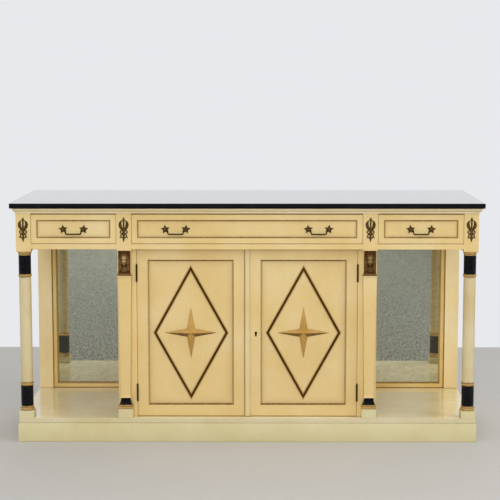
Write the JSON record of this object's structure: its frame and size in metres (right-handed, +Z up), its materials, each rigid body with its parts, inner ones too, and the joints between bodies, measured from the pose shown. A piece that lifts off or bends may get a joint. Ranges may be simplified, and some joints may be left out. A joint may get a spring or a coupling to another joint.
{
  "type": "sideboard",
  "caption": "Long painted sideboard with a black stone top, frieze drawers with bail pulls, a two-door cupboard and open mirrored niches behind turned corner columns.",
  "frame": {"origin": "on the floor, under the middle of the stone top", "axes": "+X to the right along the front, +Y from front to back, +Z up"},
  "size_m": [1.75, 0.608, 0.9],
  "materials": {
    "cream_paint": "brushed paint under a brown glaze, satin",
    "plinth_paint": "brushed paint, satin",
    "black_stone": "polished",
    "black_paint": "satin paint",
    "gilt": "rubbed gilding",
    "bronze": "dark patina",
    "hinge_brass": "aged",
    "bare_wood": "bare, sanded",
    "mirror": "slightly grey silvering",
    "lozenge_paint": "dark brown paint",
    "star_paint": "ochre glaze, rubbed"
  },
  "bodies": {
    "cabinet": {"cornice": "cream_paint", "frieze_posts": "cream_paint", "frieze_ends": "cream_paint", "dust_board": "cream_paint", "rear_posts": "cream_paint", "right_column": "cream_paint", "left_column": "cream_paint", "base_blocks": "cream_paint", "right_pilaster": "cream_paint", "left_pilaster": "cream_paint", "face_stiles": "cream_paint", "cupboard_sides": "cream_paint", "mirror_frames": "cream_paint", "base_board": "cream_paint", "plinth_boards": "plinth_paint", "stone_top": "black_stone", "black_bands": "black_paint", "gilt_rings": "gilt", "frieze_mounts": "bronze", "right_head_mount": "bronze", "left_head_mount": "bronze", "case_hinge_leaves": "hinge_brass", "sub_top": "bare_wood", "drawer_dividers": "bare_wood", "drawer_guides": "bare_wood", "frieze_back": "bare_wood", "cupboard_back": "bare_wood", "cupboard_shelf": "bare_wood", "mirror_backboards": "bare_wood", "right_mirror_glass": "mirror", "left_mirror_glass": "mirror"},
    "left_door": {"left_door_frame": "cream_paint", "left_door_panel": "cream_paint", "left_door_lozenge": "lozenge_paint", "left_door_star": "star_paint", "left_hinge_leaves": "hinge_brass", "lock_keeper": "hinge_brass", "bolt_barrel": "hinge_brass"},
    "right_door": {"right_door_frame": "cream_paint", "right_door_panel": "cream_paint", "right_door_lozenge": "lozenge_paint", "right_door_star": "star_paint", "right_hinge_leaves": "hinge_brass", "meeting_strip": "cream_paint", "lock_case": "hinge_brass"},
    "left_door_bolt": {"bolt_rod": "hinge_brass"},
    "right_door_lock": {"lock_bolt": "hinge_brass"},
    "left_drawer": {"left_drawer_front": "cream_paint", "left_drawer_box": "bare_wood", "left_drawer_rosettes": "bronze"},
    "centre_drawer": {"centre_drawer_front": "cream_paint", "centre_drawer_box": "bare_wood", "centre_drawer_rosettes": "bronze"},
    "right_drawer": {"right_drawer_front": "cream_paint", "right_drawer_box": "bare_wood", "right_drawer_rosettes": "bronze"},
    "left_pull": {"left_bail": "bronze"},
    "centre_left_pull": {"centre_left_bail": "bronze"},
    "centre_right_pull": {"centre_right_bail": "bronze"},
    "right_pull": {"right_bail": "bronze"}
  },
  "joints": [
    {"name": "left_door_hinge", "type": "hinge", "parent": "cabinet", "child": "left_door", "pos_m": [-0.41175, -0.2575, 0.4095], "axis": [0, 0, -1], "range_deg": [0, 105]},
    {"name": "right_door_hinge", "type": "hinge", "parent": "cabinet", "child": "right_door", "pos_m": [0.41175, -0.2575, 0.4095], "axis": [0, 0, 1], "range_deg": [0, 105]},
    {"name": "left_door_bolt_slide", "type": "slide", "parent": "left_door", "child": "left_door_bolt", "axis": [0, 0, 1], "range_m": [0, 0.012]},
    {"name": "right_door_lock_slide", "type": "slide", "parent": "right_door", "child": "right_door_lock", "axis": [-1, 0, 0], "range_m": [0, 0.009]},
    {"name": "left_drawer_slide", "type": "slide", "parent": "cabinet", "child": "left_drawer", "axis": [0, -1, 0], "range_m": [0, 0.36]},
    {"name": "centre_drawer_slide", "type": "slide", "parent": "cabinet", "child": "centre_drawer", "axis": [0, -1, 0], "range_m": [0, 0.36]},
    {"name": "right_drawer_slide", "type": "slide", "parent": "cabinet", "child": "right_drawer", "axis": [0, -1, 0], "range_m": [0, 0.36]},
    {"name": "left_pull_swing", "type": "hinge", "parent": "left_drawer", "child": "left_pull", "pos_m": [-0.6415, -0.2915, 0.8025], "axis": [-1, 0, 0], "range_deg": [0, 95]},
    {"name": "centre_left_pull_swing", "type": "hinge", "parent": "centre_drawer", "child": "centre_left_pull", "pos_m": [-0.264, -0.2915, 0.8025], "axis": [-1, 0, 0], "range_deg": [0, 95]},
    {"name": "centre_right_pull_swing", "type": "hinge", "parent": "centre_drawer", "child": "centre_right_pull", "pos_m": [0.264, -0.2915, 0.8025], "axis": [-1, 0, 0], "range_deg": [0, 95]},
    {"name": "right_pull_swing", "type": "hinge", "parent": "right_drawer", "child": "right_pull", "pos_m": [0.6415, -0.2915, 0.8025], "axis": [-1, 0, 0], "range_deg": [0, 95]}
  ]
}
